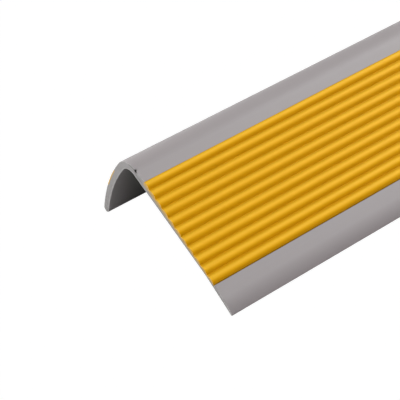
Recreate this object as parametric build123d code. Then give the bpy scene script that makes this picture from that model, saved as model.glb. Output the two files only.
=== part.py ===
from build123d import *

import math
import os

# A stair nosing, as it is sold: one long strip of L section in grey hard plastic, with a wide ribbed
# band of yellow soft plastic along its tread leg and a narrow flush one along its riser leg. The bands
# are bonded into the grey as the strip is extruded, so they fill their pockets with no gap.
#
# Lengths are in millimetres. The section is drawn as it sits on a stair: Y runs from the riser leg to
# the back edge and Z is up, with Y = 0 at the riser's outermost line and Z = 0 at the tread leg's
# underside. X runs along the strip. Loose on a level floor, the strip stands on the riser's tip and on
# its back edge, like a roof, and the finished pieces are tipped into that pose.

# The strip as a whole
LENGTH = 1000.0
WIDTH = 50.0

# Riser leg, bowed outwards so that it springs against the face of the step
RISER_DROP = 27.0
RISER_THICKNESS = 2.1
BOW_RADIUS = 56.0
BOW_HEIGHT = -13.8

# Tread leg, whose top is level over the nose and then falls towards the lip
NOSE_HEIGHT = 2.4
NOSE_RADIUS = 7.0
INNER_RADIUS = 4.0

# Lip along the back, bent down so that its edge presses on the step, and rounded off on top
LIP_LENGTH = 11.5
LIP_DROP = 1.35
LIP_THICKNESS = 1.2
BEND_RADIUS = 30.0
ROUND_LENGTH = 4.5
EDGE_THICKNESS = 0.4
EDGE_RADIUS = 0.2

# Ribbed band, let into the tread leg, with as many ribs as leave a plain margin at the back. The ribs
# are arches that stand on feet below the grey's top. The grey hides the first one's front foot, and
# behind the last one a narrow seam is left open.
BAND_START = 10.6
BAND_FLOOR_FRONT = 1.3
BAND_FLOOR_BACK = 0.3
RIBS_START = 10.12
BACK_MARGIN = 8.0
RIB_PITCH = 2.84
RIB_RISE = 0.6
FOOT_DEPTH = 0.37
GROOVE_RADIUS = 0.12
SEAM_WIDTH = 0.44

# Flush band, let into the riser leg's outer face
STRIP_TOP = -8.0
STRIP_HEIGHT = 8.0
STRIP_THICKNESS = 0.4

RIB_COUNT = int((WIDTH - BACK_MARGIN - RIBS_START) / RIB_PITCH)
BAND_END = RIBS_START + RIB_COUNT * RIB_PITCH + SEAM_WIDTH
BOW_CENTRE = (BOW_RADIUS, BOW_HEIGHT)
LIP_BEND = (WIDTH - LIP_LENGTH, 0)
LIP_SLOPE = -LIP_DROP / LIP_LENGTH
EDGE_FOOT = (WIDTH, -LIP_DROP)


def bow_angle(radius, height):
    """Angle about the bow's centre, in degrees, where a circle of this radius reaches a height."""
    return 180 + math.degrees(math.asin((BOW_HEIGHT - height) / radius))


def bow_face(radius, top, tip_angle):
    """Bowed face of the riser leg, from a height down to the angle of its tip."""
    top_angle = bow_angle(radius, top)
    return CenterArc(BOW_CENTRE, radius, top_angle, tip_angle - top_angle)


def lip_top(y):
    """Height of the lip's top, where it runs parallel to the lip's underside."""
    return LIP_THICKNESS + LIP_SLOPE * (y - LIP_BEND[0])


def rib_foot(number):
    """Foot in front of a rib, by its number from 0: the feet fall as the grey does, nose to lip."""
    fall = (NOSE_HEIGHT - lip_top(BAND_END)) / (BAND_END - RIBS_START)
    along = number * RIB_PITCH
    return (RIBS_START + along, NOSE_HEIGHT - FOOT_DEPTH - fall * along)


def whole_section():
    """The strip's section, with the bands' pockets still filled."""
    tip_radius = RISER_THICKNESS / 2
    middle_radius = BOW_RADIUS - tip_radius
    tip_angle = bow_angle(middle_radius, tip_radius - RISER_DROP)
    tip_centre = Vector(*BOW_CENTRE) + Vector(middle_radius, 0).rotate(Axis.Z, tip_angle)
    band_back = (BAND_END, lip_top(BAND_END))
    round_start = (WIDTH - ROUND_LENGTH, lip_top(WIDTH - ROUND_LENGTH))
    edge_top = (WIDTH, EDGE_THICKNESS - LIP_DROP)
    with BuildSketch() as section:
        with BuildLine():
            outer_face = bow_face(BOW_RADIUS, NOSE_HEIGHT, tip_angle)
            inner_face = bow_face(BOW_RADIUS - RISER_THICKNESS, 0, tip_angle)
            CenterArc(tip_centre, tip_radius, tip_angle, 180)
            Polyline(outer_face @ 0, (BAND_START, NOSE_HEIGHT), band_back, round_start)
            TangentArc(round_start, edge_top, tangent=(1, LIP_SLOPE))
            Polyline(edge_top, EDGE_FOOT, LIP_BEND, inner_face @ 0)
        make_face()
        for corner, radius in (
            (outer_face @ 0, NOSE_RADIUS),
            (inner_face @ 0, INNER_RADIUS),
            (LIP_BEND, BEND_RADIUS),
            (edge_top, EDGE_RADIUS),
            (EDGE_FOOT, EDGE_RADIUS),
        ):
            fillet(section.vertices().sort_by_distance(corner)[0], radius)
    return section.sketch


def band_section():
    """The ribbed band: a row of arches with rounded grooves, as far as they lie in the pocket."""
    feet = [rib_foot(number) for number in range(RIB_COUNT + 1)]
    seam_back = (BAND_END, feet[-1][1])
    floor_back = (BAND_END, BAND_FLOOR_BACK)
    floor_front = (BAND_START, BAND_FLOOR_FRONT)
    with BuildSketch() as band:
        with BuildLine():
            for front, back in zip(feet, feet[1:]):
                SagittaArc(front, back, RIB_RISE)
            Polyline(feet[-1], seam_back, floor_back, floor_front, feet[0])
        make_face()
        grooves = [band.vertices().sort_by_distance(foot)[0] for foot in feet[1:-1]]
        fillet(grooves, GROOVE_RADIUS)
        add(band_pocket(), mode=Mode.INTERSECT)
    return band.sketch


def band_pocket():
    """What the ribbed band takes out of the grey, up to above its crests."""
    clear_of_crests = NOSE_HEIGHT + RIB_RISE
    with BuildSketch() as pocket:
        with BuildLine():
            Polyline(
                (BAND_START, BAND_FLOOR_FRONT),
                (BAND_END, BAND_FLOOR_BACK),
                (BAND_END, clear_of_crests),
                (BAND_START, clear_of_crests),
                close=True,
            )
        make_face()
    return pocket.sketch


def strip_section():
    """The riser's flush band: the outermost skin of the bow between two heights."""
    with BuildSketch() as strip:
        with Locations(BOW_CENTRE):
            Circle(BOW_RADIUS)
            Circle(BOW_RADIUS - STRIP_THICKNESS, mode=Mode.SUBTRACT)
        with Locations((0, STRIP_TOP)):
            Rectangle(BOW_RADIUS, STRIP_HEIGHT, align=(Align.CENTER, Align.MAX), mode=Mode.INTERSECT)
    return strip.sketch


def rest_pose(section):
    """Turn and shift that stand the section on its tip and its back edge, centred over the origin."""
    tip = section.edges().sort_by(Axis.Y)[0]
    edge = section.edges().sort_by_distance(EDGE_FOOT)[0]
    run = edge.arc_center - tip.arc_center
    lean = math.atan2(run.Y, run.X) + math.asin((tip.radius - edge.radius) / run.length)
    turn = Rotation(0, 0, -math.degrees(lean))
    box = (turn * section).bounding_box()
    return Pos(-box.center().X, -box.min.Y) * turn


def strip_of(section, pose):
    """A piece of the full length with this section, in the pose that the strip rests in."""
    return extrude(Plane.YZ * (pose * section), LENGTH / 2, both=True)


def main():
    """Build the three pieces and write each to its own file."""
    section = whole_section()
    band = band_section()
    strip = strip_section()
    pose = rest_pose(section)
    pieces = {
        "base_profile": section - band_pocket() - strip,
        "tread_insert": band,
        "riser_strip": strip,
    }
    os.makedirs("parts", exist_ok=True)
    for node, piece_section in pieces.items():
        export_step(strip_of(piece_section, pose), f"parts/{node}.step")


main()
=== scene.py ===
"""A stair nosing lying loose on a pale floor: a grey L strip with a ribbed yellow band, cut off at both ends.

The strip is one section carried along X, and its +X end is the one nearest to the camera. The section is a
wall that starts at the tip of the riser leg, goes round the nose and ends at the back edge, so every point
of it has two parameters: how far along the wall it lies, and how far across, from the wall's back to its
face. Sizes are in millimetres, as the strip sits on a stair: Y runs from the riser leg to the back edge, Z
is up, and Z = 0 is the underside of the tread leg.
"""

import logging
import math
from dataclasses import dataclass, field
from enum import Enum, IntEnum

import bpy
import numpy as np
from mathutils import Matrix, Vector

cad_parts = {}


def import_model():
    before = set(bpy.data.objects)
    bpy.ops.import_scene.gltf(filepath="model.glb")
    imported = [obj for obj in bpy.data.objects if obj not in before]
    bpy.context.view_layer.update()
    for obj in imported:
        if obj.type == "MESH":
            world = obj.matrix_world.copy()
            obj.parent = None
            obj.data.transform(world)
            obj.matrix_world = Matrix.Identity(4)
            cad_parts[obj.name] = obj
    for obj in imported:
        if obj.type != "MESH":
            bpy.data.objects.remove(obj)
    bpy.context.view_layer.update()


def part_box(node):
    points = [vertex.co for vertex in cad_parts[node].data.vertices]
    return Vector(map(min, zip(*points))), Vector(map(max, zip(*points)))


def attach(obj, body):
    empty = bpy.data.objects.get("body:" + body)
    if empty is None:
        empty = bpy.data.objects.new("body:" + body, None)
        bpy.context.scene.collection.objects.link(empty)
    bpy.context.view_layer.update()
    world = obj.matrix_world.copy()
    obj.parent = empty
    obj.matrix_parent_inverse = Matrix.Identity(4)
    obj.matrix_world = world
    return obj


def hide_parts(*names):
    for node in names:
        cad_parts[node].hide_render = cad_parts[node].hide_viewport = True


MM = 0.001
PAINTED_SHADE = "painted_shade"
PAINTED_LIGHT = "painted_light"
PAINTED_SHEEN = "painted_sheen"
EDGE = "edge"
INSIDE = "inside"

TINY = 1e-9
NOISE_SPAN = (0.3, 0.7)
WHITE = (1.0, 1.0, 1.0)

Point = np.ndarray | tuple[float, float]
Triple = tuple[float, float, float]
Colour = Triple
Socket = bpy.types.NodeSocket

log = logging.getLogger("stair_nosing")


class Slot(Enum):
    """The record's material slots."""

    GREY = "grey_plastic"
    YELLOW = "yellow_plastic"


class Skin(IntEnum):
    """The two finishes on one piece, by the number of their material slot on its mesh."""

    EXTRUDED = 0
    SAWN = 1


def line(start: Point, end: Point, cells: int) -> np.ndarray:
    """Points of a straight line, or of one for each pair: start plus an even share of the way to end."""
    share = np.linspace(0.0, 1.0, cells + 1)[:, None]
    return (1 - share) * np.asarray(start)[..., None, :] + share * np.asarray(end)[..., None, :]


def curve(y: np.ndarray, z: np.ndarray) -> np.ndarray:
    """Points out of their places along Y and their heights."""
    return np.stack([y, z], axis=-1)


def arc(centre: Point, radius: float, start: float, end: float, cells: int) -> np.ndarray:
    """Points of an arc: centre plus radius times cosine and sine of an angle stepped evenly in degrees."""
    angle = np.radians(np.linspace(start, end, cells + 1))
    return np.asarray(centre) + radius * np.stack([np.cos(angle), np.sin(angle)], axis=-1)


def rounded(before: Point, corner: Point, after: Point, radius: float, cells: int) -> np.ndarray:
    """Arc that rounds a corner off: it touches both sides at radius times the tangent of half the turn
    from the corner, and its first spoke, square to the side that comes in, is swung through the turn.

    Args:
        before: A point on the side that comes in.
        corner: The corner itself.
        after: A point on the side that goes out.
        radius: Radius of the arc.
        cells: Number of steps.

    Returns:
        The arc's points.
    """
    into, out = np.subtract(corner, before), np.subtract(after, corner)
    into = into / math.hypot(*into)
    turn = math.atan2(into[0] * out[1] - into[1] * out[0], into @ out)
    inwards = math.copysign(radius, turn) * np.array([-into[1], into[0]])
    centre = corner - into * radius * math.tan(abs(turn) / 2) + inwards
    start = math.atan2(-inwards[1], -inwards[0])
    return arc(centre, radius, math.degrees(start), math.degrees(start + turn), cells)


@dataclass(frozen=True)
class Section:
    """Sizes of the strip's section in millimetres, and the lines that they give."""

    width: float = 50.0
    riser_drop: float = 27.0
    riser_thickness: float = 2.1
    bow_radius: float = 56.0
    bow_height: float = -13.8
    nose_height: float = 2.4
    nose_radius: float = 7.0
    inner_radius: float = 4.0
    lip_length: float = 11.5
    lip_drop: float = 1.35
    lip_thickness: float = 1.2
    bend_radius: float = 30.0
    round_length: float = 4.5
    edge_thickness: float = 0.4
    edge_radius: float = 0.2
    band_start: float = 10.6
    band_floor_front: float = 1.3
    band_floor_back: float = 0.3
    ribs_start: float = 10.12
    back_margin: float = 8.0
    rib_pitch: float = 2.84
    rib_rise: float = 0.6
    foot_depth: float = 0.37
    groove_radius: float = 0.12
    seam_width: float = 0.44
    strip_top: float = -8.0
    strip_height: float = 8.0
    strip_thickness: float = 0.4

    @property
    def rib_count(self) -> int:
        """As many ribs as leave the plain margin at the back."""
        return int((self.width - self.back_margin - self.ribs_start) / self.rib_pitch)

    @property
    def band_end(self) -> float:
        """Y of the ribbed band's back side."""
        return self.ribs_start + self.rib_count * self.rib_pitch + self.seam_width

    @property
    def strip_bottom(self) -> float:
        """Z of the riser band's lower side."""
        return self.strip_top - self.strip_height

    @property
    def bow_centre(self) -> tuple[float, float]:
        """Centre of the riser leg's bow."""
        return (self.bow_radius, self.bow_height)

    @property
    def bow_inner(self) -> float:
        """Radius of the riser leg's back."""
        return self.bow_radius - self.riser_thickness

    @property
    def lip_slope(self) -> float:
        """Height that the lip's underside loses for each millimetre of Y."""
        return self.lip_drop / self.lip_length

    @property
    def tip_radius(self) -> float:
        """Radius of the riser leg's half-round tip."""
        return self.riser_thickness / 2

    @property
    def tip_angle(self) -> float:
        """Angle in degrees, about the bow's centre, of the tip's own centre."""
        middle = self.bow_radius - self.tip_radius
        return 180 + math.degrees(math.asin((self.bow_height + self.riser_drop - self.tip_radius) / middle))

    @property
    def tip_centre(self) -> np.ndarray:
        """Centre of the riser leg's half-round tip."""
        return arc(self.bow_centre, self.bow_radius - self.tip_radius, self.tip_angle, self.tip_angle, 0)[0]

    @property
    def round_start(self) -> float:
        """Y at which the lip's top begins to round off."""
        return self.width - self.round_length

    @property
    def edge_top(self) -> np.ndarray:
        """Upper corner of the back edge, before it is rounded."""
        return np.array([self.width, self.edge_thickness - self.lip_drop])

    @property
    def edge_foot(self) -> np.ndarray:
        """Lower corner of the back edge, before it is rounded."""
        return np.array([self.width, -self.lip_drop])

    def bow(self, radius: float, height: np.ndarray) -> np.ndarray:
        """Points of a circle: Y is the bow centre's less the root of radius squared less rise squared."""
        across = np.sqrt(radius**2 - (height - self.bow_height) ** 2)
        return curve(self.bow_radius - across, height)

    def corner_arc(self, bow_radius: float, height: float, radius: float, cells: int) -> np.ndarray:
        """Arc that leads from a circle of the bow into a level line: its centre lies one radius under the
        line, and one radius inside the circle.

        Args:
            bow_radius: Radius of the circle.
            height: Z of the level line.
            radius: Radius of the arc.
            cells: Number of steps.

        Returns:
            The arc's points, from the circle to the line.
        """
        centre = self.bow(bow_radius - radius, np.array(height - radius))
        rise = math.degrees(math.asin((centre[1] - self.bow_height) / (bow_radius - radius)))
        return arc(centre, radius, 180 - rise, 90, cells)

    def underside(self, y: np.ndarray) -> np.ndarray:
        """Height of the tread leg's underside: level, then an arc of the bend's radius, then the lip's
        even slope from the point where the lip is bent.

        Args:
            y: Places along the tread leg.

        Returns:
            The underside's height at each place.
        """
        slope_angle = math.atan(self.lip_slope)
        bend = self.width - self.lip_length
        start = bend - self.bend_radius * math.tan(slope_angle / 2)
        end = start + self.bend_radius * math.sin(slope_angle)
        along = np.clip(y - start, 0, end - start)
        curved = np.sqrt(self.bend_radius**2 - along**2) - self.bend_radius
        return np.where(y < end, curved, -self.lip_slope * (y - bend))

    def lip_top(self, y: np.ndarray | float) -> np.ndarray | float:
        """Height of the lip's top, where it runs parallel to the slope of its underside."""
        return self.lip_thickness - self.lip_slope * (y - self.width + self.lip_length)

    def crown_height(self, y: np.ndarray | float) -> np.ndarray | float:
        """Height of the lip's rounded top: a circle that leaves the lip's top along its slope and passes
        through the edge's upper corner. Its centre is square below its start, and its radius is the chord
        squared over twice the chord's part along that square line.

        Args:
            y: Places along the tread leg.

        Returns:
            The centre's height plus the root of radius squared less the distance from it squared.
        """
        start = np.array([self.round_start, self.lip_top(self.round_start)])
        chord = self.edge_top - start
        down = -np.array([self.lip_slope, 1.0]) / math.hypot(1, self.lip_slope)
        radius = (chord @ chord) / (2 * (chord @ down))
        centre = start + down * radius
        return centre[1] + np.sqrt(radius**2 - (y - centre[0]) ** 2)

    def tread_top(self, y: np.ndarray) -> np.ndarray:
        """Height of the line over the band's pocket: it falls evenly from the nose to the lip's top."""
        return np.interp(y, [self.band_start, self.band_end], [self.nose_height, self.lip_top(self.band_end)])

    def band_floor(self, y: np.ndarray) -> np.ndarray:
        """Height of the floor of the band's pocket: it falls evenly from the front to the back."""
        return np.interp(y, [self.band_start, self.band_end], [self.band_floor_front, self.band_floor_back])

    def foot_line(self, y: np.ndarray) -> np.ndarray:
        """Height of the line of the ribs' feet, which falls as the grey does from the nose to the lip."""
        grey = np.interp(y, [self.ribs_start, self.band_end], [self.nose_height, self.lip_top(self.band_end)])
        return grey - self.foot_depth

    def ribs(self, cells: int, groove_cells: int) -> np.ndarray:
        """The band's ribbed face: equal arches whose feet lie on one falling line, and a small arc in each
        groove that touches both arches beside it. The first arch comes out of the grey where the band
        starts, and behind the last one lies the level floor of the seam.

        A rib's radius is (half its width, squared, plus its rise squared) over twice its rise. Seen from a
        rib's centre, the groove's arc is touched where the cosine of the angle from the falling line is
        half the width over the two radii's sum.

        Args:
            cells: Number of steps in each arch.
            groove_cells: Number of steps in each groove.

        Returns:
            The face's points, from the front of the band to its back.
        """
        y = self.ribs_start + self.rib_pitch * np.arange(self.rib_count + 1)
        feet = curve(y, self.foot_line(y))
        along = feet[1] - feet[0]
        half_width = math.hypot(*along) / 2
        along /= 2 * half_width
        up = np.array([-along[1], along[0]])
        radius = (half_width**2 + self.rib_rise**2) / (2 * self.rib_rise)
        reach = radius + self.groove_radius
        touch = math.acos(half_width / reach)

        def spokes(turn: np.ndarray) -> np.ndarray:
            """Directions at angles from the falling line."""
            return np.cos(turn)[..., None] * along + np.sin(turn)[..., None] * up

        centres = (feet[:-1] + feet[1:]) / 2 + up * (self.rib_rise - radius)
        start = np.full(self.rib_count, math.pi - touch)
        start[0] = math.acos((self.band_start - centres[0, 0]) / radius) - math.asin(along[1])
        end = np.full(self.rib_count, touch)
        end[-1] = math.acos(half_width / radius)
        arches = centres[:, None] + radius * spokes(np.linspace(start, end, cells + 1, axis=-1))

        turn = np.linspace(math.pi + touch, 2 * math.pi - touch, groove_cells + 1)[1:-1]
        depth = reach * math.sin(touch) + self.rib_rise - radius
        grooves = (feet[1:-1] + up * depth)[:, None] + self.groove_radius * spokes(turn)
        joined = np.concatenate([arches[:-1], grooves], axis=1).reshape(-1, 2)
        seam = line(feet[-1], (self.band_end, feet[-1, 1]), groove_cells)[1:]
        return np.concatenate([joined, arches[-1], seam])

    def rest_lean(self) -> float:
        """Angle in radians by which the strip tips forward until tip and back edge share one floor.

        Returns:
            The slope of the line that touches the tip's circle and the back edge's circle from below.
        """
        foot_y = self.width - self.edge_radius
        level = -self.lip_slope * (foot_y - self.width + self.lip_length)
        foot = np.array([foot_y, level + self.edge_radius * math.hypot(1, self.lip_slope)])
        run = foot - self.tip_centre
        return math.atan2(run[1], run[0]) + math.asin((self.tip_radius - self.edge_radius) / np.hypot(*run))


@dataclass
class Wall:
    """A section, or a part of one, as a grid of points: columns along the wall, rows from back to face.

    Filled marks the cells of solid material, and shown the points on the outside of the whole strip. Marks
    hold one value for each point: the painted light mark is 1 where the colour is lightest, down to 0 where
    painted shade makes it deepest; the painted sheen mark is 1 where a painted sheen leaves it palest, down
    to 0 where it is fullest; the painted shade mark is the share of dark painted shade; EDGE is the way
    across the wall to its nearer side in millimetres, and INSIDE is 1 on the side that faces the step, which
    takes the painted shade of the tunnel under the strip.
    """

    points: np.ndarray
    filled: np.ndarray = field(init=False)
    shown: np.ndarray = field(init=False)
    marks: dict[str, np.ndarray] = field(init=False)

    def __post_init__(self) -> None:
        """Start with every cell filled and no point shown, all lit, palest, free of painted shade and not
        inside.
        """
        columns, rows = self.points.shape[:2]
        self.filled = np.ones((columns - 1, rows - 1), dtype=bool)
        self.shown = np.zeros((columns, rows), dtype=bool)
        plain = {PAINTED_LIGHT: 1.0, PAINTED_SHEEN: 1.0, PAINTED_SHADE: 0.0, INSIDE: 0.0}
        self.marks = {mark: np.full((columns, rows), value) for mark, value in plain.items()}

    @classmethod
    def between(cls, back: np.ndarray, face: np.ndarray, rows: int) -> "Wall":
        """A wall with straight columns that shows only its face, as a band let into another piece.

        Args:
            back: One point for each column.
            face: One point for each column.
            rows: Number of cells across.

        Returns:
            The wall.
        """
        wall = cls(line(back, face, rows))
        wall.shown[:, -1] = True
        wall.marks[EDGE] = wall.depths()[1]
        return wall

    def depths(self) -> tuple[np.ndarray, np.ndarray]:
        """Each point's way along its column to the back and to the face, summed from cell to cell.

        Returns:
            The two ways, in millimetres.
        """
        steps = np.linalg.norm(np.diff(self.points, axis=1), axis=-1)
        from_back = np.pad(np.cumsum(steps, axis=1), ((0, 0), (1, 0)))
        return from_back, from_back[:, -1:] - from_back

    def corners(self) -> np.ndarray:
        """Every cell's corners as point numbers, counterclockwise as seen from +X, the lowest first."""
        number = np.arange(self.shown.size).reshape(self.shown.shape)
        return np.stack([number[:-1, :-1], number[1:, :-1], number[1:, 1:], number[:-1, 1:]], axis=-1)

    def rim_edges(self) -> np.ndarray:
        """Sides of filled cells with no filled cell beyond them, with the material on their left.

        Returns:
            Pairs of point numbers.
        """
        corners, around = self.corners(), np.pad(self.filled, 1)
        beyond = {0: around[1:-1, :-2], 2: around[1:-1, 2:], 3: around[:-2, 1:-1], 1: around[2:, 1:-1]}
        sides = [
            corners[..., [side, (side + 1) % 4]][self.filled & ~neighbour]
            for side, neighbour in beyond.items()
        ]
        return np.concatenate(sides)

    def inward(self, reach: float, most: float = 0.6) -> np.ndarray:
        """How far each shown point moves where the cut end is rounded: towards the next point inside.

        Args:
            reach: The full move.
            most: The largest part of its way to the next point that a point may move.

        Returns:
            A move in the section's plane for each point, nought for points that don't show.
        """
        columns, rows = self.shown.shape
        column, row = np.indices(self.shown.shape)
        ends_show = self.shown[0, 1] and self.shown[-1, 1]
        to_column = column + ((column == 0).astype(int) - (column == columns - 1)) * int(ends_show)
        to_row = row + (row == 0).astype(int) - (row == rows - 1)
        way = self.points[to_column, to_row] - self.points
        length = np.maximum(np.linalg.norm(way, axis=-1), TINY)
        move = np.minimum(reach, most * length) * self.shown / length
        return way * move[..., None]


@dataclass
class WallLayout:
    """Lays the strip's section out as walls, fine enough for its arcs to look round.

    Cells are numbers of steps along a stretch of the wall, and rows are steps across it. Tip cut is how far
    round the tip from its ends, in degrees, the wall's two sides reach. Lit ribs are places across the band,
    in rib pitches, and lit place is how far behind its rib's front foot the painted highlight is brightest
    there; half a pitch away, in the grooves, the painted shade is deepest. The painted sheen lies before the
    brightest place by the sheen lead. Seam shade is the painted shade in the crevice behind the last rib.
    Back and face gather the grey wall's sides stretch by stretch, and share how far from the face to the
    back its middle row lies.
    """

    section: Section
    tip_cells: int = 6
    tip_cut: float = 45.0
    riser_cells: int = 14
    strip_cells: int = 10
    shoulder_cells: int = 6
    nose_cells: int = 84
    front_cells: int = 18
    band_cells: int = 64
    lip_cells: int = 8
    round_cells: int = 16
    edge_cells: int = 5
    rib_cells: int = 12
    groove_cells: int = 4
    back_rows: int = 4
    face_rows: int = 5
    strip_rows: int = 3
    seam_shade: float = 0.7
    lit_ribs: tuple[float, ...] = (0.5, 1.5, 6.5, 10.5)
    lit_place: tuple[float, ...] = (0.46, 0.36, 0.37, 0.5)
    sheen_lead: float = 0.1
    back: list[np.ndarray] = field(default_factory=list)
    face: list[np.ndarray] = field(default_factory=list)
    share: list[np.ndarray] = field(default_factory=list)

    def base(self) -> Wall:
        """The grey wall from tip to back edge.

        Returns:
            The wall, with both pockets left open in its face rows.
        """
        s = self.section
        for lines in (self.back, self.face, self.share):
            lines.clear()
        self._riser()
        self._nose()
        self._tread()
        back, face = self._join(self.back), self._join(self.face)
        middle = face + (back - face) * self._join(self.share)[:, None]
        behind = line(back, middle, self.back_rows)
        before = line(middle, face, self.face_rows)
        wall = Wall(np.concatenate([behind, before[:, 1:]], axis=1))
        self._bulge_tip(wall.points)
        wall.shown[[0, -1]] = True
        wall.shown[:, [0, -1]] = True
        strip_from = self.tip_cells + self.riser_cells
        band_from = strip_from + self.strip_cells + self.shoulder_cells + self.nose_cells + self.front_cells
        for start, cells in ((strip_from, self.strip_cells), (band_from, self.band_cells)):
            wall.filled[start : start + cells, self.back_rows :] = False
            wall.shown[start + 1 : start + cells, -1] = False
        log.info("section: %d ribs between %.2f and %.2f mm", s.rib_count, s.band_start, s.band_end)
        # Painted shade: over the lip's rounded back edge the grey turns to its deep colour, as the top turns
        # away from the light.
        turned_away = np.clip((wall.points[..., 0] - s.round_start) / s.round_length, 0.0, 1.0)
        wall.marks[PAINTED_LIGHT] = 1.0 - turned_away
        wall.marks[EDGE] = np.minimum(*wall.depths())
        wall.marks[EDGE][[0, -1]] = 0.0
        # The wall's back faces the tunnel under the strip, which takes painted shade.
        wall.marks[INSIDE][:, 0] = 1.0
        return wall

    def band(self) -> Wall:
        """The ribbed band.

        Returns:
            The band's wall, from the floor of its pocket to its ribs.
        """
        face = self.section.ribs(self.rib_cells, self.groove_cells)
        back = curve(face[:, 0], self.section.band_floor(face[:, 0]))
        wall = Wall.between(back, face, self.face_rows)
        pitches = (wall.points[..., 0] - self.section.ribs_start) / self.section.rib_pitch
        # Painted highlight and shade across the ribs: lightest near each crest, deep in the grooves.
        wall.marks[PAINTED_LIGHT] = self._painted_crest_light(pitches)
        # Painted sheen: the yellow keeps its paler colour a little ahead of each crest, and the tone fills it
        # out elsewhere.
        wall.marks[PAINTED_SHEEN] = self._painted_crest_light(pitches + self.sheen_lead)
        # Painted shade in the crevice of the seam behind the last rib.
        wall.marks[PAINTED_SHADE][face[:, 0] > self.section.band_end - self.section.seam_width, -1] = self.seam_shade
        return wall

    def riser_band(self) -> Wall:
        """The riser's flush band.

        Returns:
            The band's wall, the outermost skin of the bow between two heights.
        """
        s = self.section
        height = np.linspace(s.strip_bottom, s.strip_top, self.strip_cells + 1)
        floor = s.bow(s.bow_radius - s.strip_thickness, height)
        return Wall.between(floor, s.bow(s.bow_radius, height), self.strip_rows)

    def _painted_crest_light(self, pitches: np.ndarray) -> np.ndarray:
        """Painted light across the ribs: half of 1 plus cosine of the way from the brightest place, 1 for the
        painted highlight and 0 for the painted shade in the grooves.
        """
        place = np.interp(pitches, self.lit_ribs, self.lit_place)
        return (1 + np.cos(2 * math.pi * (pitches - place))) / 2

    def _riser(self) -> None:
        """Add the tip, the riser leg up to its band, and the band's own stretch."""
        s = self.section
        for lines, ends in ((self.face, (self.tip_cut, 0)), (self.back, (180 - self.tip_cut, 180))):
            start, end = (s.tip_angle + turn for turn in ends)
            lines.append(arc(s.tip_centre, s.tip_radius, start, end, self.tip_cells))
        for lines, radius in ((self.face, s.bow_radius), (self.back, s.bow_inner)):
            heights = np.linspace(lines[-1][-1, 1], s.strip_bottom, self.riser_cells + 1)
            lines.append(s.bow(radius, heights))
            heights = np.linspace(s.strip_bottom, s.strip_top, self.strip_cells + 1)
            lines.append(s.bow(radius, heights))
        floor = s.bow(s.bow_radius - s.strip_thickness, heights)[:, 0]
        face, back = self.face[-1][:, 0], self.back[-1][:, 0]
        exact = (floor - face) / (back - face)
        self.share += [np.full(cells + 1, exact[0]) for cells in (self.tip_cells, self.riser_cells)]
        self.share.append(exact)

    def _nose(self) -> None:
        """Add the riser leg above its band, the rounded nose and the level stretch behind it."""
        s = self.section
        outer = s.corner_arc(s.bow_radius, s.nose_height, s.nose_radius, self.nose_cells)
        inner = s.corner_arc(s.bow_inner, 0.0, s.inner_radius, self.nose_cells)
        sides = ((self.face, outer, s.bow_radius, s.nose_height), (self.back, inner, s.bow_inner, 0.0))
        for lines, turn, radius, height in sides:
            lines.append(s.bow(radius, np.linspace(s.strip_top, turn[0, 1], self.shoulder_cells + 1)))
            lines.append(turn)
            lines.append(line(turn[-1], (s.band_start, height), self.front_cells))
        front = (s.nose_height - s.band_floor_front) / s.nose_height
        cells = (self.shoulder_cells, self.nose_cells, self.front_cells)
        steps = np.cumsum((0, *cells)) / sum(cells)
        first = self.share[-1][-1]
        for start, end, count in zip(steps[:-1], steps[1:], cells):
            self.share.append(first + (front - first) * np.linspace(start, end, count + 1))

    def _tread(self) -> None:
        """Add the band's stretch, the lip, its rounded top and the back edge."""
        s = self.section
        y = np.linspace(s.band_start, s.band_end, self.band_cells + 1)
        top, under = s.tread_top(y), s.underside(y)
        self.face.append(curve(y, top))
        self.back.append(curve(y, under))
        self.share.append((top - s.band_floor(y)) / (top - under))

        y = np.linspace(s.band_end, s.round_start, self.lip_cells + 1)
        self.face.append(curve(y, s.lip_top(y)))
        self.back.append(curve(y, s.underside(y)))
        self.share.append(np.linspace(self.share[-1][-1], 0.5, self.lip_cells + 1))

        before = s.width - s.round_length / self.round_cells
        top, foot = s.edge_top, s.edge_foot
        sides = ((self.face, s.crown_height, top, foot), (self.back, s.underside, foot, top))
        for lines, height, corner, after in sides:
            turn = rounded((before, height(before)), corner, after, s.edge_radius, self.edge_cells)
            y = np.linspace(s.round_start, turn[0, 0], self.round_cells + 1)
            stretch = curve(y, height(y))
            stretch[-1] = turn[0]
            lines += [stretch, turn]
        self.share += [np.full(cells + 1, 0.5) for cells in (self.round_cells, self.edge_cells)]

    def _bulge_tip(self, points: np.ndarray) -> None:
        """Move the first columns out, so that the wall ends on the tip's arc: the first column by the
        whole way from its chord to the arc, the next ones by the square of what is left of the tip.

        Args:
            points: The wall's grid, changed in place.
        """
        s = self.section
        along = (points[0] - points[0, 0]) @ (points[0, -1] - points[0, 0])
        turn = (180 - 2 * self.tip_cut) * along / along[-1]
        angle = np.radians(s.tip_angle + 180 - self.tip_cut - turn)
        round_end = s.tip_centre + s.tip_radius * np.stack([np.cos(angle), np.sin(angle)], axis=-1)
        left = (1 - np.arange(self.tip_cells) / self.tip_cells) ** 2
        points[: self.tip_cells] += left[:, None, None] * (round_end - points[0])[None]

    @staticmethod
    def _join(parts: list) -> np.ndarray:
        """One line out of stretches that share their end points."""
        return np.concatenate([parts[0][:1]] + [part[1:] for part in parts])


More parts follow.
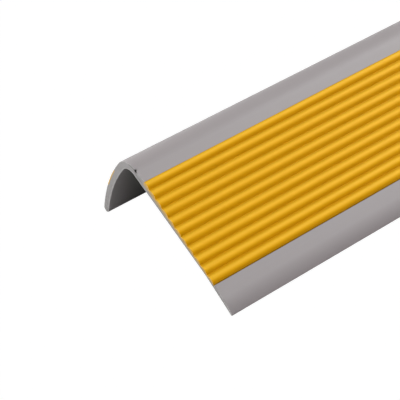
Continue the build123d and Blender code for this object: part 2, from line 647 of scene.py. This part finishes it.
@dataclass(frozen=True)
class RestPose:
    """Turns a section from the stair's frame into the pose in which the loose strip lies."""

    lean: float
    shift: tuple[float, float]

    @classmethod
    def of(cls, section: Section, outline: np.ndarray) -> "RestPose":
        """Lean the section onto its tip and its edge, with its lowest point at 0 and centred on Y.

        Args:
            section: The strip's sizes.
            outline: All points of the widest wall.

        Returns:
            The pose.
        """
        pose = cls(section.rest_lean(), (0.0, 0.0))
        turned = pose.place(outline.reshape(-1, 2))
        low, high = turned.min(axis=0), turned.max(axis=0)
        return cls(pose.lean, (-(low[0] + high[0]) / 2, -low[1]))

    def place(self, points: np.ndarray) -> np.ndarray:
        """Turn places in the section's plane by the lean and shift them."""
        return self.turn(points) + np.asarray(self.shift)

    def turn(self, points: np.ndarray) -> np.ndarray:
        """Turn directions by the lean: Y takes cosine Y plus sine Z, Z takes cosine Z less sine Y."""
        cosine, sine = math.cos(self.lean), math.sin(self.lean)
        return points @ np.array([[cosine, -sine], [sine, cosine]])


@dataclass(frozen=True)
class Pit:
    """A near-black speck of painted shade in a small hollow on the upper edge of the near end, where a void
    in the extrusion lies, with a darker painted hairline either side.

    The speck's place and the hairline's corners are points of the section, in millimetres. Beyond its
    radius the speck's painted shade fades over the fade's share of it.
    """

    at: tuple[float, float] = (6.85, 1.9)
    radius: float = 0.38
    fade: float = 0.5
    depth: float = 0.8
    hairline: tuple[tuple[float, float], ...] = (
        (4.2, 1.0), (5.4, 1.5), (6.85, 1.9), (7.5, 1.2), (7.9, 0.93), (10.3, 0.9)
    )
    line_width: float = 0.26
    line_shade: float = 0.45

    def strike(self, points: np.ndarray, end_x: float, pose: RestPose) -> tuple[np.ndarray, np.ndarray]:
        """Paint shade on the points round the speck and the hairline, and press the hollow into them.

        The speck's painted shade is 1 within its radius, and the hairline's is less and fades evenly to its
        width.
        The hollow is the depth times e to the minus (distance over radius) squared, in equal parts
        straight into the end and down into the strip.

        Args:
            points: Points in the row's frame, in millimetres.
            end_x: X of the end face.
            pose: The pose that the strip lies in.

        Returns:
            How much painted shade each point takes, from 0 to 1, and the points, moved.
        """
        speck, *corners = np.insert(pose.place(np.array([self.at, *self.hairline])), 0, end_x, axis=1)
        distance = np.linalg.norm(points - speck, axis=1)
        dark = np.clip(((1 + self.fade) * self.radius - distance) / (self.fade * self.radius), 0, 1)
        run = np.diff(corners, axis=0)
        away = points[:, None] - np.array(corners[:-1])
        share = np.clip((away * run).sum(axis=-1) / (run**2).sum(axis=-1), 0, 1)
        off_line = np.linalg.norm(away - share[..., None] * run, axis=-1).min(axis=1)
        shade_paint = np.maximum(dark, self.line_shade * np.clip(1 - off_line / self.line_width, 0, 1))

        way = np.array([-1.0, *pose.turn(np.array([0.0, -1.0]))]) / math.sqrt(2)
        hollow = self.depth * np.exp(-((distance / self.radius) ** 2))
        return shade_paint, points + way * hollow[:, None]


@dataclass(frozen=True)
class TunnelShade:
    """Painted shade inside the roof that the strip forms, where little light gets in: darkest deep inside and
    high up.

    Deep is its share from the reach inwards, and high its share from the rise above the clear height up.
    """

    reach: float = 10.0
    deep: float = 0.54
    clear_height: float = 3.0
    rise: float = 14.0
    high: float = 0.31
    unshaded_edge: float = 0.5

    def shade_paint(self, points: np.ndarray, end_x: float) -> np.ndarray:
        """How much painted shade points would take if they lay inside: it grows evenly with the depth from
        the nearer cut end, up to the reach, and evenly with the height; the very edge of the cut takes none.

        Args:
            points: Points in the row's frame, in millimetres.
            end_x: X of the end face.

        Returns:
            A value from 0 to 1 for each point.
        """
        depth = end_x - abs(points[:, 0])
        by_depth = self.deep * np.clip(depth / self.reach, 0, 1)
        by_height = self.high * np.clip((points[:, 2] - self.clear_height) / self.rise, 0, 1)
        return (by_depth + by_height) * np.clip(depth / self.unshaded_edge, 0, 1)


@dataclass
class SawnStrip:
    """Carries a wall's grid along X as one closed solid with finely rounded cut ends.

    Settle gives the stations behind the rounding by their distance from the end, and pitch is the
    distance between the stations after them. Edges that turn by more than the sharp angle stay sharp.
    """

    half_length: float
    pose: RestPose
    edge_round: float = 0.05
    round_steps: int = 4
    settle: tuple[float, ...] = (0.2, 0.32, 0.46, 0.62, 0.8, 1.1, 2.0, 5.0, 10.0)
    pitch: float = 25.0
    sharp_angle: float = math.radians(32)
    tunnel_shade: TunnelShade = TunnelShade()

    def stations(self) -> tuple[np.ndarray, np.ndarray]:
        """Places along X, from +X to -X, and how much of the edge's rounding each one has.

        Returns:
            X of each station, and the share: 1 less the cosine of an angle that falls from 90 degrees at
            the end face to nought where the rounding ends.
        """
        angle = np.radians(np.linspace(90, 0, self.round_steps + 1))
        inset = np.concatenate([self.edge_round * (1 - np.sin(angle)), self.settle])
        share = np.concatenate([1 - np.cos(angle), np.zeros(len(self.settle))])
        reach = self.half_length - inset[-1]
        middle = np.linspace(reach, -reach, 2 * round(reach / self.pitch) + 1)[1:-1]
        x = np.concatenate([self.half_length - inset, middle, inset[::-1] - self.half_length])
        return x, np.concatenate([share, np.zeros(len(middle)), share[::-1]])

    def build(self, name: str, wall: Wall, pit: Pit | None = None) -> bpy.types.Object:
        """Make the piece's object.

        The two end faces are the wall's filled cells. Between them every free side of a cell is carried
        from station to station, so the end faces and the skin share their points and the solid is closed.

        Args:
            name: The object's name.
            wall: The section to carry.
            pit: A flaw on the near end, if the piece has it.

        Returns:
            The object, at the origin, with its place in its mesh.
        """
        x, share = self.stations()
        used, cells = np.unique(wall.corners()[wall.filled], return_inverse=True)
        cells = cells.reshape(-1, 4)
        ring, edges = np.unique(np.searchsorted(used, wall.rim_edges()), return_inverse=True)
        left, right = edges.reshape(-1, 2).T
        flat = wall.points.reshape(-1, 2)[used]
        moves = wall.inward(self.edge_round).reshape(-1, 2)[used]

        end = flat + moves
        between = flat[ring] + moves[ring] * share[1:-1, None, None]
        stations, size = len(between), len(ring)
        plane = self.pose.place(np.concatenate([end, between.reshape(-1, 2), end]))
        along = np.repeat(x, [len(end), *[size] * stations, len(end)])
        points = np.column_stack([along, plane])

        far = len(end) + stations * size
        middle = np.arange(len(end), far).reshape(stations, size)
        table = np.vstack([ring, middle, ring + far])
        skin = np.stack([table[:-1, left], table[1:, left], table[1:, right], table[:-1, right]], axis=-1)
        faces = np.concatenate([cells, cells[:, ::-1] + far, skin.reshape(-1, 4)])
        finish = np.full(skin.shape[:2], Skin.EXTRUDED)
        finish[: self.round_steps] = Skin.SAWN
        finish[-self.round_steps :] = Skin.SAWN
        finish = np.concatenate([np.full(2 * len(cells), Skin.SAWN), finish.ravel()])

        marks = {}
        for mark, grid in wall.marks.items():
            values = grid.ravel()[used]
            marks[mark] = np.concatenate([values, np.tile(values[ring], stations), values])
        # Painted shade inside the tunnel, growing with the depth from the cut ends and with the height.
        inside = marks.pop(INSIDE) * self.tunnel_shade.shade_paint(points, self.half_length)
        marks[PAINTED_SHADE] = np.maximum(marks[PAINTED_SHADE], inside)
        # The pit's speck and hairline add painted shade.
        if pit:
            shade_paint, points = pit.strike(points, self.half_length, self.pose)
            marks[PAINTED_SHADE] = np.maximum(marks[PAINTED_SHADE], shade_paint)
        return self._object(name, points, faces, finish, marks)

    def _object(
        self, name: str, points: np.ndarray, faces: np.ndarray, finish: np.ndarray, marks: dict
    ) -> bpy.types.Object:
        """Put arrays into a mesh and the mesh into the scene.

        Args:
            name: Name of object and mesh.
            points: Points in millimetres.
            faces: Four point numbers for each face.
            finish: Material slot number of each face.
            marks: Values for each point, by the name of their attribute.

        Returns:
            The new object.
        """
        piece = add_mesh(name, points * MM, faces.tolist())
        mesh = piece.data
        mesh.polygons.foreach_set("material_index", finish.astype(np.int32))
        for mark, values in marks.items():
            mesh.attributes.new(mark, "FLOAT", "POINT").data.foreach_set("value", values.astype(np.float32))
        mesh.set_sharp_from_angle(angle=self.sharp_angle)
        mesh.update()
        return piece


def add_object(name: str, data: bpy.types.ID) -> bpy.types.Object:
    """Make an object and link it into the scene.

    Args:
        name: Name of the object.
        data: Its mesh, light or camera.

    Returns:
        The object.
    """
    thing = bpy.data.objects.new(name, data)
    bpy.context.scene.collection.objects.link(thing)
    return thing


def add_mesh(name: str, points: np.ndarray, faces: list) -> bpy.types.Object:
    """Make a smooth mesh and its object.

    Args:
        name: Name of both.
        points: Points in metres.
        faces: Point numbers of each face.

    Returns:
        The object.
    """
    mesh = bpy.data.meshes.new(name)
    mesh.from_pydata(points.tolist(), [], faces)
    mesh.shade_smooth()
    return add_object(name, mesh)


class Recipe:
    """The node tree of one material, built up in front of its surface shader."""

    def __init__(self, name: str) -> None:
        """Start a material with a bare surface shader.

        Args:
            name: Name of the material.
        """
        self.material = bpy.data.materials.new(name)
        self.material.use_nodes = True
        self.tree = self.material.node_tree
        self.shader = self.tree.nodes["Principled BSDF"]
        self.place = self.add("ShaderNodeTexCoord").outputs["Object"]

    def add(self, kind: str, **settings: object) -> bpy.types.Node:
        """Add a node.

        Args:
            kind: Blender's name for the kind of node.
            **settings: The node's properties.

        Returns:
            The node.
        """
        node = self.tree.nodes.new(kind)
        for name, value in settings.items():
            setattr(node, name, value)
        return node

    def plug(self, socket: Socket, value: object) -> None:
        """Link an input to another node's output, or set it to a value.

        Args:
            socket: The input.
            value: The output or the value.
        """
        if isinstance(value, Socket):
            self.tree.links.new(value, socket)
        else:
            socket.default_value = value

    def feed(self, node: bpy.types.Node, **inputs: object) -> bpy.types.Node:
        """Fill a node's inputs by name, each with a socket or a value.

        Args:
            node: The node.
            **inputs: What goes in, by the input's name with _ for a space.

        Returns:
            The node.
        """
        for name, value in inputs.items():
            self.plug(node.inputs[name.replace("_", " ")], value)
        return node

    def noise(self, size: Triple, detail: float = 2.0, turn: float = 0.0) -> Socket:
        """Noise with its own grain size along each axis.

        Args:
            size: Size of the grain along X, Y and Z, in millimetres.
            detail: Octaves of finer grain.
            turn: Angle in radians by which the pattern is turned about X.

        Returns:
            The noise's value, mostly within NOISE_SPAN.
        """
        mapping = self.add("ShaderNodeMapping", vector_type="TEXTURE")
        self.feed(mapping, Vector=self.place, Scale=Vector(size) * MM, Rotation=(turn, 0.0, 0.0))
        grain = self.add("ShaderNodeTexNoise")
        self.feed(grain, Vector=mapping.outputs["Vector"], Scale=1.0, Detail=detail, Roughness=0.55)
        return grain.outputs["Fac"]

    def span(self, value: Socket, low: float, high: float, to_low: object, to_high: float) -> Socket:
        """Map low to high evenly onto to_low, a number or a socket, to to_high, held at both ends."""
        ends = {"From_Min": low, "From_Max": high, "To_Min": to_low, "To_Max": to_high}
        return self.feed(self.add("ShaderNodeMapRange"), Value=value, **ends).outputs["Result"]

    def blend(self, share: object, first: object, second: object, kind: str = "MIX") -> Socket:
        """Lay one colour over another by a share.

        Args:
            share: 0 for the first colour alone, 1 for the second in full, as a number or a socket.
            first: A colour or a socket.
            second: A colour or a socket.
            kind: The way of blending, by its name in Blender.

        Returns:
            The blended colour.
        """
        node = self.add("ShaderNodeMix", data_type="RGBA", blend_type=kind)
        for number, value in ((0, share), (6, first), (7, second)):
            self.plug(node.inputs[number], (*value, 1.0) if isinstance(value, tuple) else value)
        return node.outputs[2]

    def mark(self, name: str) -> Socket:
        """Value of one of the mesh's own attributes."""
        return self.add("ShaderNodeAttribute", attribute_name=name).outputs["Fac"]

    def relief(self, height: Socket, depth: float, **under: Socket) -> Socket:
        """Normal of a bump that is as deep as given, in millimetres, where its height is 1."""
        inputs = {"Height": height, "Strength": 1.0, "Distance": depth * MM, **under}
        return self.feed(self.add("ShaderNodeBump"), **inputs).outputs["Normal"]

    def finish(self, colour: Socket, roughness: Socket, shade_paint: Colour, **inputs: object) -> bpy.types.Material:
        """Feed the shader, with the painted shade's colour and no gloss where the painted shade mark is set.

        Args:
            colour: Colour of the clean surface.
            roughness: Roughness of the clean surface.
            shade_paint: Colour of the painted shade.
            **inputs: The shader's other inputs.

        Returns:
            The finished material.
        """
        # Painted shade: where the mark is set, the colour turns to the shade's and the gloss goes.
        painted_shade = self.mark(PAINTED_SHADE)
        rough = self.span(painted_shade, 0.0, 1.0, roughness, 1.0)
        self.feed(self.shader, Base_Color=self.blend(painted_shade, colour, shade_paint), Roughness=rough, **inputs)
        return self.material


@dataclass(frozen=True)
class ExtrudedPlastic:
    """Plastic as it leaves the die: an even colour with soft clouds, and faint streaks along X.

    The colour runs from light to dark in the streaks, turns to deep, a painted shade, where the painted light
    mark falls to 0, is multiplied by the tone where the painted sheen mark does, so that only the painted
    sheen keeps the colour paler, and is covered by the painted shade's colour where that mark is set.
    Sheen colours the gloss. Streak gives a streak's length and width, and cloud and grain their sizes, in
    millimetres; clouds are longer along X by their stretch. Streak span is what the streaks' noise runs
    over, and cloud share how much of the light colour the clouds bring back.
    """

    name: str
    light: Colour
    dark: Colour
    # Painted shade colour, where the painted light mark falls to 0.
    deep: Colour
    roughness: tuple[float, float]
    specular: float
    # Multiplied in where there is no painted sheen.
    tone: Colour = WHITE
    sheen: Colour = WHITE
    # Colour of the painted shade inside the tunnel and in the seam.
    shade_paint: Colour = (0.009, 0.020, 0.004)
    streak: tuple[float, float] = (260.0, 0.9)
    streak_span: tuple[float, float] = (0.32, 0.68)
    streak_depth: float = 0.006
    cloud: float = 14.0
    cloud_stretch: float = 2.5
    cloud_share: float = 0.6
    grain: float = 0.35
    grain_depth: float = 0.004

    def material(self) -> bpy.types.Material:
        """Build the material.

        Returns:
            A material whose colour, roughness and relief follow the streaks, clouds, grain and marks.
        """
        recipe = Recipe(self.name)
        length, width = self.streak
        streaks = recipe.noise((length, width, width), detail=3.0)
        clouds = recipe.noise((self.cloud_stretch * self.cloud, self.cloud, self.cloud))
        grain = recipe.noise((self.grain,) * 3)
        streaked = recipe.blend(recipe.span(streaks, *self.streak_span, 0.0, 1.0), self.dark, self.light)
        clouding = recipe.span(clouds, *NOISE_SPAN, 0.0, self.cloud_share)
        clouded = recipe.blend(clouding, streaked, self.light)
        # Painted shade and highlight: the deep colour where the painted light mark is low.
        painted_shading = recipe.blend(recipe.mark(PAINTED_LIGHT), self.deep, clouded)
        # Painted sheen: the tone fills the colour out wherever the painted sheen mark falls.
        tone = recipe.blend(recipe.mark(PAINTED_SHEEN), self.tone, WHITE)
        return recipe.finish(
            colour=recipe.blend(1.0, painted_shading, tone, kind="MULTIPLY"),
            roughness=recipe.span(streaks, *NOISE_SPAN, *self.roughness),
            shade_paint=self.shade_paint,
            Normal=recipe.relief(grain, self.grain_depth, Normal=recipe.relief(streaks, self.streak_depth)),
            Specular_IOR_Level=self.specular,
            Specular_Tint=(*self.sheen, 1.0),
        )


@dataclass(frozen=True)
class SawnPlastic:
    """Plastic where the saw went through: matt, scored by the teeth, and paler along its edges, where a paler
    burr and a painted highlight of the light catching the cut lie.

    Score gives a score's depth along X, width and length, smear the size of the smears, and rim width how
    far the rim of burr and painted highlight reaches, in millimetres. The shares say how much of the light
    colour the smears bring back, and how much of the pale one there is on the rim.
    """

    name: str
    light: Colour
    dark: Colour
    pale: Colour
    # Colour of the painted shade on the cut ends, in the pit's speck and hairline.
    shade_paint: Colour = (0.004, 0.004, 0.004)
    roughness: tuple[float, float] = (0.5, 0.7)
    score: Triple = (4.0, 0.16, 9.0)
    score_turn: float = math.radians(35)
    score_depth: float = 0.012
    smear: float = 1.2
    smear_span: tuple[float, float] = (0.35, 0.65)
    smear_share: float = 0.5
    rim_width: float = 0.3
    rim_share: float = 0.8
    specular: float = 0.5

    def material(self) -> bpy.types.Material:
        """Build the material.

        Returns:
            A material with fine parallel scores across the end face and a paler rim.
        """
        recipe = Recipe(self.name)
        scores = recipe.noise(self.score, detail=3.0, turn=self.score_turn)
        smears = recipe.noise((self.smear,) * 3)
        scored = recipe.blend(recipe.span(scores, *NOISE_SPAN, 0.0, 1.0), self.dark, self.light)
        smearing = recipe.span(smears, *self.smear_span, 0.0, self.smear_share)
        smeared = recipe.blend(smearing, scored, self.light)
        # Paler burr and painted highlight along the cut's edges.
        rim = recipe.span(recipe.mark(EDGE), 0.0, self.rim_width, self.rim_share, 0.0)
        return recipe.finish(
            colour=recipe.blend(rim, smeared, self.pale),
            roughness=recipe.span(scores, *NOISE_SPAN, *self.roughness),
            shade_paint=self.shade_paint,
            Normal=recipe.relief(scores, self.score_depth),
            Specular_IOR_Level=self.specular,
        )


@dataclass(frozen=True)
class Finishes:
    """The strip's four finishes."""

    grey: ExtrudedPlastic = ExtrudedPlastic(
        name="grey_extruded",
        light=(0.336, 0.309, 0.312),
        dark=(0.326, 0.299, 0.303),
        # Painted shade colour of the lip's rounded back edge.
        deep=(0.250, 0.224, 0.228),
        roughness=(0.42, 0.54),
        specular=0.4,
    )
    yellow: ExtrudedPlastic = ExtrudedPlastic(
        name="yellow_extruded",
        light=(0.85, 0.472, 0.030),
        dark=(0.81, 0.446, 0.025),
        # Painted shade colour of the grooves between the ribs.
        deep=(0.574, 0.297, 0.005),
        roughness=(0.36, 0.46),
        specular=0.4,
        # Where there is no painted sheen, this tone takes the blue and some green out.
        tone=(1.0, 0.87, 0.15),
        sheen=(1.0, 0.6, 0.05),
        streak=(180.0, 0.7),
        cloud=9.0,
    )
    grey_end: SawnPlastic = SawnPlastic(
        name="grey_sawn", light=(0.282, 0.271, 0.268), dark=(0.243, 0.235, 0.231), pale=(0.46, 0.444, 0.438)
    )
    yellow_end: SawnPlastic = SawnPlastic(
        name="yellow_sawn", light=(0.50, 0.32, 0.095), dark=(0.41, 0.265, 0.08), pale=(0.70, 0.43, 0.10)
    )

    def materials(self) -> dict[Slot, tuple[bpy.types.Material, bpy.types.Material]]:
        """Build all four.

        Returns:
            The extruded and the sawn material of each slot, in the order of Skin.
        """
        return {
            Slot.GREY: (self.grey.material(), self.grey_end.material()),
            Slot.YELLOW: (self.yellow.material(), self.yellow_end.material()),
        }


@dataclass
class StairNosing:
    """The whole strip: the grey profile and the two yellow bands that are bonded into it."""

    section: Section
    finishes: Finishes = field(default_factory=Finishes)
    body: str = "root"

    def build(self) -> None:
        """Make the three pieces, dress them and put each in its node's place."""
        low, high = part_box("base_profile")
        half_length = (high[0] - low[0]) / 2 / MM
        layout = WallLayout(self.section)
        base = layout.base()
        pose = RestPose.of(self.section, base.points)
        saw = SawnStrip(half_length, pose)
        materials = self.finishes.materials()
        parts = (
            ("base_profile", Slot.GREY, base, Pit()),
            ("tread_insert", Slot.YELLOW, layout.band(), None),
            ("riser_strip", Slot.YELLOW, layout.riser_band(), None),
        )
        for node, slot, wall, pit in parts:
            piece = saw.build(f"{node}_dressed", wall, pit)
            for material in materials[slot]:
                piece.data.materials.append(material)
            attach(piece, self.body)
            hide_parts(node)
            self._report(piece, node)

    @staticmethod
    def _report(piece: bpy.types.Object, node: str) -> None:
        """Log a piece's size and how far its corners lie from those of its node.

        Args:
            piece: The piece's object.
            node: The node it stands for.
        """
        corners = np.array(piece.bound_box)
        own = np.stack([corners.min(axis=0), corners.max(axis=0)])
        gap = abs(own - np.array([list(corner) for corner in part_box(node)])).max() / MM
        size = (own[1] - own[0]) / MM
        log.info("%s: %d faces, %.2f x %.2f x %.2f mm, %.3f mm off its node",
                 piece.name, len(piece.data.polygons), *size, gap)


@dataclass(frozen=True)
class PaleRoom:
    """Pale paper floor that turns up into a far wall, and the light in it.

    The paper that is seen is nearly white by itself, as an overexposed studio floor is, so that it takes
    only a trace of shade. A second sheet in the same place, which the camera doesn't see, gives the strip
    the light that plain paper would throw back. Lengths are in metres, but for the mottle's size.
    """

    radius: float = 20.0
    hub: float = 0.02
    first_ring: float = 0.4
    rings: int = 28
    sectors: int = 72
    flat_share: float = 0.7
    rise: float = 8.0
    glow: float = 1.0
    shade: Colour = (0.16, 0.16, 0.16)
    paper: Colour = (0.8, 0.8, 0.8)
    mottle: float = 1.02
    mottle_size: float = 40.0
    sky: Colour = WHITE
    sky_strength: float = 0.03

    def build(self) -> None:
        """Make both sheets and the sky."""
        seen = self._sheet("floor_paper", self._paper("paper_bright", self.shade, self.glow))
        seen.visible_diffuse = seen.visible_glossy = seen.visible_transmission = False
        seen.visible_shadow = False
        self._sheet("floor_bounce", self._paper("paper_plain", self.paper, 0.0)).visible_camera = False
        world = bpy.data.worlds.new("soft_sky")
        world.use_nodes = True
        background = world.node_tree.nodes["Background"]
        background.inputs["Color"].default_value = (*self.sky, 1.0)
        background.inputs["Strength"].default_value = self.sky_strength
        bpy.context.scene.world = world

    def _sheet(self, name: str, material: bpy.types.Material) -> bpy.types.Object:
        """A disc whose rim turns up: height is nought as far as the flat share of the radius, and grows
        with the cube of what is left beyond it.

        Args:
            name: Name of the object.
            material: What it is made of.

        Returns:
            The sheet, marked as stage.
        """
        rings = np.concatenate([[self.hub], np.geomspace(self.first_ring, self.radius, self.rings)])
        turn = np.linspace(0, 2 * math.pi, self.sectors, endpoint=False)
        radius, angle = np.meshgrid(rings, turn, indexing="ij")
        beyond = np.maximum(radius / self.radius - self.flat_share, 0) / (1 - self.flat_share)
        points = np.stack([radius * np.cos(angle), radius * np.sin(angle), self.rise * beyond**3], axis=-1)
        number = np.arange(radius.size).reshape(radius.shape)
        after = np.roll(number, -1, axis=1)
        faces = np.stack([number[:-1], number[1:], after[1:], after[:-1]], axis=-1).reshape(-1, 4)
        sheet = add_mesh(name, points.reshape(-1, 3), [*faces.tolist(), number[0].tolist()])
        sheet.data.materials.append(material)
        return sheet

    def _paper(self, name: str, colour: Colour, glow: float) -> bpy.types.Material:
        """Matt paper with a trace of mottling, which may glow: then only its diffuse part takes shade.

        Args:
            name: Name of the material.
            colour: The paper's colour.
            glow: Strength of its own white light.

        Returns:
            The material.
        """
        recipe = Recipe(name)
        lighter = tuple(self.mottle * value for value in colour)
        mottled = recipe.blend(recipe.noise((self.mottle_size,) * 3), colour, lighter)
        recipe.feed(recipe.shader, Base_Color=mottled, Roughness=0.9, Specular_IOR_Level=0.0)
        recipe.feed(recipe.shader, Emission_Color=(*WHITE, 1.0), Emission_Strength=glow)
        return recipe.material


@dataclass(frozen=True)
class SoftBox:
    """A large square studio light that points at a target, and that may be kept out of reflections."""

    name: str
    place: Triple
    size: float
    power: float
    mirrored: bool = True

    def build(self, target: Triple) -> None:
        """Hang the light.

        Args:
            target: The point it is turned to, in metres.
        """
        light = bpy.data.lights.new(self.name, "AREA")
        light.shape = "SQUARE"
        light.size = self.size
        light.energy = self.power
        lamp = add_object(self.name, light)
        lamp.location = self.place
        lamp.visible_glossy = self.mirrored
        lamp.rotation_euler = (Vector(target) - Vector(self.place)).to_track_quat("-Z", "Y").to_euler()


@dataclass(frozen=True)
class PhotoCamera:
    """The camera of the photograph: close by, looking down at the near end, and rolled a little."""

    eye: Triple = (641.3, 227.8, 233.2)
    target: Triple = (487.03, -1.01, 12.0)
    roll: float = math.radians(-5.267)
    photo_pixels: float = 400.0
    focal_pixels: float = 1400.0
    sensor: float = 36.0
    clips: tuple[float, float] = (0.01, 100.0)

    def build(self) -> None:
        """Set the camera up and make it the scene's own.

        Its right is level, square to the line of sight, and then swung about that line by the roll.
        """
        data = bpy.data.cameras.new("photo_camera")
        data.sensor_width = self.sensor
        data.lens = self.sensor * self.focal_pixels / self.photo_pixels
        data.clip_start, data.clip_end = self.clips
        eye = Vector(self.eye) * MM
        ahead = (Vector(self.target) * MM - eye).normalized()
        level = ahead.cross(Vector((0, 0, 1))).normalized()
        right = level * math.cos(self.roll) + level.cross(ahead) * math.sin(self.roll)
        axes = Matrix((right, right.cross(ahead), -ahead)).transposed()
        camera = add_object("photo_camera", data)
        camera.matrix_world = Matrix.Translation(eye) @ axes.to_4x4()
        bpy.context.scene.camera = camera


def set_colours() -> None:
    """Show colours as they are, with no film curve."""
    view = bpy.context.scene.view_settings
    view.view_transform = "Standard"
    view.look = "None"


def main() -> None:
    """Build the strip, the room, the lights and the camera."""
    logging.basicConfig(level=logging.INFO, format="%(name)s: %(message)s")
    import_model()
    set_colours()
    PhotoCamera().build()
    StairNosing(Section()).build()
    PaleRoom().build()
    aim = (0.47, 0.0, 0.01)
    SoftBox("key", place=(-0.6, 0.22, 1.15), size=1.1, power=23.5).build(aim)
    SoftBox("nose_fill", place=(0.45, -1.5, 0.5), size=1.0, power=13.0).build(aim)
    SoftBox("end_fill", place=(2.0, 0.0, 0.3), size=0.6, power=14.6, mirrored=False).build(aim)
    SoftBox("back_fill", place=(0.5, 1.25, 0.85), size=1.0, power=5.0).build(aim)
    SoftBox("corner_fill", place=(1.3, -0.9, 1.0), size=1.0, power=4.4).build(aim)


if __name__ == "__main__":
    main()
